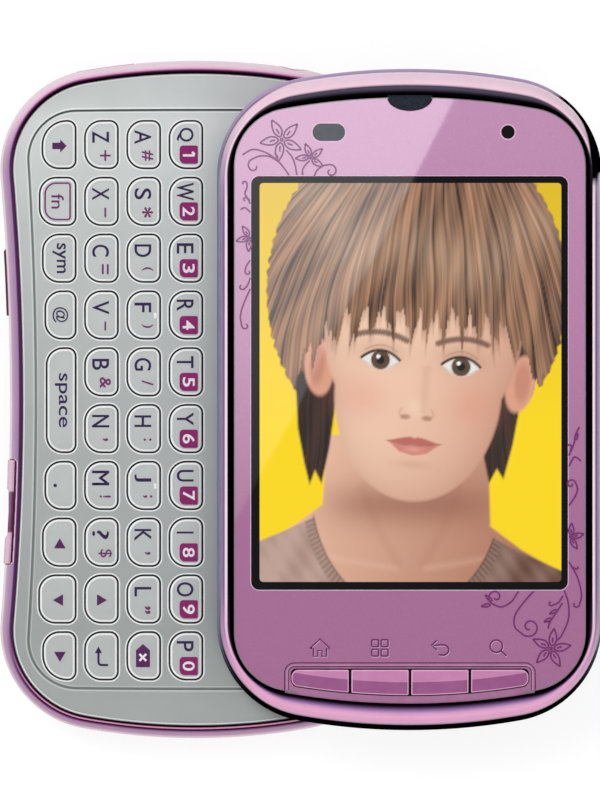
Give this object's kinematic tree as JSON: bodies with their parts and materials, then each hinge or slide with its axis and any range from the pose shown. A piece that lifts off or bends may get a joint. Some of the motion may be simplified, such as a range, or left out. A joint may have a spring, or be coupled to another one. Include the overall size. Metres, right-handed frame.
{
  "type": "slider phone",
  "caption": "Touch-screen phone whose display half slides sideways off a full letter keyboard, with sprung keys and a swing-out port cover.",
  "frame": {"origin": "centre of the keyboard half's flat back face", "axes": "+X the way the display slides open, +Y towards the earpiece end, +Z out of the screen"},
  "size_m": [0.0926, 0.1045, 0.0152],
  "materials": {
    "pink_gloss": "glossy pink metallic lacquer",
    "back_cover": "satin soft-touch lacquer",
    "battery": "matt wrap",
    "board": "green solder mask with metal cans",
    "camera_glass": "polished dark window",
    "membrane": "soft silicone",
    "deck_grey": "fine silver-grey paint",
    "keycap_grey": "silver-grey lacquer with printed legends",
    "rail_steel": "brushed, lightly oiled",
    "dark_gloss": "glossy dark purple",
    "rim_pink": "pink chrome plating",
    "lcd": "dark glass in a black frame",
    "panel_mauve": "clear hard face over a pearl mauve print",
    "front_key_pink": "glossy magenta with light upper facets",
    "side_key_pink": "glossy pink",
    "port_rubber": "dark magenta rubber"
  },
  "bodies": {
    "keyboard_half": {"lower_housing": "pink_gloss", "battery_cover": "back_cover", "battery_pack": "battery", "main_board": "board", "rear_camera": "camera_glass", "key_membrane": "membrane", "keyboard_deck": "deck_grey", "rail_plate": "rail_steel"},
    "display_half": {"slide_plate": "rail_steel", "display_back": "dark_gloss", "display_rim": "rim_pink", "lcd_module": "lcd", "front_panel": "panel_mauve"},
    "key_q": {"key_q": "keycap_grey"},
    "key_w": {"key_w": "keycap_grey"},
    "key_e": {"key_e": "keycap_grey"},
    "key_r": {"key_r": "keycap_grey"},
    "key_t": {"key_t": "keycap_grey"},
    "key_y": {"key_y": "keycap_grey"},
    "key_u": {"key_u": "keycap_grey"},
    "key_i": {"key_i": "keycap_grey"},
    "key_o": {"key_o": "keycap_grey"},
    "key_p": {"key_p": "keycap_grey"},
    "key_a": {"key_a": "keycap_grey"},
    "key_s": {"key_s": "keycap_grey"},
    "key_d": {"key_d": "keycap_grey"},
    "key_f": {"key_f": "keycap_grey"},
    "key_g": {"key_g": "keycap_grey"},
    "key_h": {"key_h": "keycap_grey"},
    "key_j": {"key_j": "keycap_grey"},
    "key_k": {"key_k": "keycap_grey"},
    "key_l": {"key_l": "keycap_grey"},
    "key_backspace": {"key_backspace": "keycap_grey"},
    "key_z": {"key_z": "keycap_grey"},
    "key_x": {"key_x": "keycap_grey"},
    "key_c": {"key_c": "keycap_grey"},
    "key_v": {"key_v": "keycap_grey"},
    "key_b": {"key_b": "keycap_grey"},
    "key_n": {"key_n": "keycap_grey"},
    "key_m": {"key_m": "keycap_grey"},
    "key_question": {"key_question": "keycap_grey"},
    "key_up": {"key_up": "keycap_grey"},
    "key_enter": {"key_enter": "keycap_grey"},
    "key_shift": {"key_shift": "keycap_grey"},
    "key_fn": {"key_fn": "keycap_grey"},
    "key_symbol": {"key_symbol": "keycap_grey"},
    "key_at": {"key_at": "keycap_grey"},
    "key_space": {"key_space": "keycap_grey"},
    "key_period": {"key_period": "keycap_grey"},
    "key_left": {"key_left": "keycap_grey"},
    "key_down": {"key_down": "keycap_grey"},
    "key_right": {"key_right": "keycap_grey"},
    "home_key": {"home_key": "front_key_pink"},
    "menu_key": {"menu_key": "front_key_pink"},
    "back_key": {"back_key": "front_key_pink"},
    "search_key": {"search_key": "front_key_pink"},
    "volume_rocker": {"volume_rocker": "side_key_pink"},
    "camera_key": {"camera_key": "side_key_pink"},
    "power_key": {"power_key": "side_key_pink"},
    "port_cover": {"port_cover": "port_rubber"}
  },
  "joints": [
    {"name": "display_slide", "type": "slide", "parent": "keyboard_half", "child": "display_half", "axis": [1, 0, 0], "range_m": [-0.0328, 0]},
    {"name": "key_q_press", "type": "slide", "parent": "keyboard_half", "child": "key_q", "axis": [0, 0, -1], "range_m": [0, 0.0003], "stiffness_N_per_m": 1200},
    {"name": "key_w_press", "type": "slide", "parent": "keyboard_half", "child": "key_w", "axis": [0, 0, -1], "range_m": [0, 0.0003], "stiffness_N_per_m": 1200},
    {"name": "key_e_press", "type": "slide", "parent": "keyboard_half", "child": "key_e", "axis": [0, 0, -1], "range_m": [0, 0.0003], "stiffness_N_per_m": 1200},
    {"name": "key_r_press", "type": "slide", "parent": "keyboard_half", "child": "key_r", "axis": [0, 0, -1], "range_m": [0, 0.0003], "stiffness_N_per_m": 1200},
    {"name": "key_t_press", "type": "slide", "parent": "keyboard_half", "child": "key_t", "axis": [0, 0, -1], "range_m": [0, 0.0003], "stiffness_N_per_m": 1200},
    {"name": "key_y_press", "type": "slide", "parent": "keyboard_half", "child": "key_y", "axis": [0, 0, -1], "range_m": [0, 0.0003], "stiffness_N_per_m": 1200},
    {"name": "key_u_press", "type": "slide", "parent": "keyboard_half", "child": "key_u", "axis": [0, 0, -1], "range_m": [0, 0.0003], "stiffness_N_per_m": 1200},
    {"name": "key_i_press", "type": "slide", "parent": "keyboard_half", "child": "key_i", "axis": [0, 0, -1], "range_m": [0, 0.0003], "stiffness_N_per_m": 1200},
    {"name": "key_o_press", "type": "slide", "parent": "keyboard_half", "child": "key_o", "axis": [0, 0, -1], "range_m": [0, 0.0003], "stiffness_N_per_m": 1200},
    {"name": "key_p_press", "type": "slide", "parent": "keyboard_half", "child": "key_p", "axis": [0, 0, -1], "range_m": [0, 0.0003], "stiffness_N_per_m": 1200},
    {"name": "key_a_press", "type": "slide", "parent": "keyboard_half", "child": "key_a", "axis": [0, 0, -1], "range_m": [0, 0.0003], "stiffness_N_per_m": 1200},
    {"name": "key_s_press", "type": "slide", "parent": "keyboard_half", "child": "key_s", "axis": [0, 0, -1], "range_m": [0, 0.0003], "stiffness_N_per_m": 1200},
    {"name": "key_d_press", "type": "slide", "parent": "keyboard_half", "child": "key_d", "axis": [0, 0, -1], "range_m": [0, 0.0003], "stiffness_N_per_m": 1200},
    {"name": "key_f_press", "type": "slide", "parent": "keyboard_half", "child": "key_f", "axis": [0, 0, -1], "range_m": [0, 0.0003], "stiffness_N_per_m": 1200},
    {"name": "key_g_press", "type": "slide", "parent": "keyboard_half", "child": "key_g", "axis": [0, 0, -1], "range_m": [0, 0.0003], "stiffness_N_per_m": 1200},
    {"name": "key_h_press", "type": "slide", "parent": "keyboard_half", "child": "key_h", "axis": [0, 0, -1], "range_m": [0, 0.0003], "stiffness_N_per_m": 1200},
    {"name": "key_j_press", "type": "slide", "parent": "keyboard_half", "child": "key_j", "axis": [0, 0, -1], "range_m": [0, 0.0003], "stiffness_N_per_m": 1200},
    {"name": "key_k_press", "type": "slide", "parent": "keyboard_half", "child": "key_k", "axis": [0, 0, -1], "range_m": [0, 0.0003], "stiffness_N_per_m": 1200},
    {"name": "key_l_press", "type": "slide", "parent": "keyboard_half", "child": "key_l", "axis": [0, 0, -1], "range_m": [0, 0.0003], "stiffness_N_per_m": 1200},
    {"name": "key_backspace_press", "type": "slide", "parent": "keyboard_half", "child": "key_backspace", "axis": [0, 0, -1], "range_m": [0, 0.0003], "stiffness_N_per_m": 1200},
    {"name": "key_z_press", "type": "slide", "parent": "keyboard_half", "child": "key_z", "axis": [0, 0, -1], "range_m": [0, 0.0003], "stiffness_N_per_m": 1200},
    {"name": "key_x_press", "type": "slide", "parent": "keyboard_half", "child": "key_x", "axis": [0, 0, -1], "range_m": [0, 0.0003], "stiffness_N_per_m": 1200},
    {"name": "key_c_press", "type": "slide", "parent": "keyboard_half", "child": "key_c", "axis": [0, 0, -1], "range_m": [0, 0.0003], "stiffness_N_per_m": 1200},
    {"name": "key_v_press", "type": "slide", "parent": "keyboard_half", "child": "key_v", "axis": [0, 0, -1], "range_m": [0, 0.0003], "stiffness_N_per_m": 1200},
    {"name": "key_b_press", "type": "slide", "parent": "keyboard_half", "child": "key_b", "axis": [0, 0, -1], "range_m": [0, 0.0003], "stiffness_N_per_m": 1200},
    {"name": "key_n_press", "type": "slide", "parent": "keyboard_half", "child": "key_n", "axis": [0, 0, -1], "range_m": [0, 0.0003], "stiffness_N_per_m": 1200},
    {"name": "key_m_press", "type": "slide", "parent": "keyboard_half", "child": "key_m", "axis": [0, 0, -1], "range_m": [0, 0.0003], "stiffness_N_per_m": 1200},
    {"name": "key_question_press", "type": "slide", "parent": "keyboard_half", "child": "key_question", "axis": [0, 0, -1], "range_m": [0, 0.0003], "stiffness_N_per_m": 1200},
    {"name": "key_up_press", "type": "slide", "parent": "keyboard_half", "child": "key_up", "axis": [0, 0, -1], "range_m": [0, 0.0003], "stiffness_N_per_m": 1200},
    {"name": "key_enter_press", "type": "slide", "parent": "keyboard_half", "child": "key_enter", "axis": [0, 0, -1], "range_m": [0, 0.0003], "stiffness_N_per_m": 1200},
    {"name": "key_shift_press", "type": "slide", "parent": "keyboard_half", "child": "key_shift", "axis": [0, 0, -1], "range_m": [0, 0.0003], "stiffness_N_per_m": 1200},
    {"name": "key_fn_press", "type": "slide", "parent": "keyboard_half", "child": "key_fn", "axis": [0, 0, -1], "range_m": [0, 0.0003], "stiffness_N_per_m": 1200},
    {"name": "key_symbol_press", "type": "slide", "parent": "keyboard_half", "child": "key_symbol", "axis": [0, 0, -1], "range_m": [0, 0.0003], "stiffness_N_per_m": 1200},
    {"name": "key_at_press", "type": "slide", "parent": "keyboard_half", "child": "key_at", "axis": [0, 0, -1], "range_m": [0, 0.0003], "stiffness_N_per_m": 1200},
    {"name": "key_space_press", "type": "slide", "parent": "keyboard_half", "child": "key_space", "axis": [0, 0, -1], "range_m": [0, 0.0003], "stiffness_N_per_m": 1200},
    {"name": "key_period_press", "type": "slide", "parent": "keyboard_half", "child": "key_period", "axis": [0, 0, -1], "range_m": [0, 0.0003], "stiffness_N_per_m": 1200},
    {"name": "key_left_press", "type": "slide", "parent": "keyboard_half", "child": "key_left", "axis": [0, 0, -1], "range_m": [0, 0.0003], "stiffness_N_per_m": 1200},
    {"name": "key_down_press", "type": "slide", "parent": "keyboard_half", "child": "key_down", "axis": [0, 0, -1], "range_m": [0, 0.0003], "stiffness_N_per_m": 1200},
    {"name": "key_right_press", "type": "slide", "parent": "keyboard_half", "child": "key_right", "axis": [0, 0, -1], "range_m": [0, 0.0003], "stiffness_N_per_m": 1200},
    {"name": "home_key_press", "type": "slide", "parent": "display_half", "child": "home_key", "axis": [0, 0, -1], "range_m": [0, 0.0003], "stiffness_N_per_m": 1200},
    {"name": "menu_key_press", "type": "slide", "parent": "display_half", "child": "menu_key", "axis": [0, 0, -1], "range_m": [0, 0.0003], "stiffness_N_per_m": 1200},
    {"name": "back_key_press", "type": "slide", "parent": "display_half", "child": "back_key", "axis": [0, 0, -1], "range_m": [0, 0.0003], "stiffness_N_per_m": 1200},
    {"name": "search_key_press", "type": "slide", "parent": "display_half", "child": "search_key", "axis": [0, 0, -1], "range_m": [0, 0.0003], "stiffness_N_per_m": 1200},
    {"name": "volume_rock", "type": "hinge", "parent": "keyboard_half", "child": "volume_rocker", "pos_m": [-0.02817, -0.0173, 0.0052], "axis": [0, 0, 1], "range_deg": [-1.6, 1.6], "stiffness_Nm_per_rad": 0.06},
    {"name": "camera_key_press", "type": "slide", "parent": "keyboard_half", "child": "camera_key", "axis": [-1, 0, 0], "range_m": [0, 0.0003], "stiffness_N_per_m": 1200},
    {"name": "power_key_press", "type": "slide", "parent": "keyboard_half", "child": "power_key", "axis": [0, -1, 0], "range_m": [0, 0.0003], "stiffness_N_per_m": 1200},
    {"name": "port_cover_swing", "type": "hinge", "parent": "keyboard_half", "child": "port_cover", "pos_m": [-0.02919, 0.02275, 0.00347], "axis": [0, 0, -1], "range_deg": [0, 90]}
  ]
}
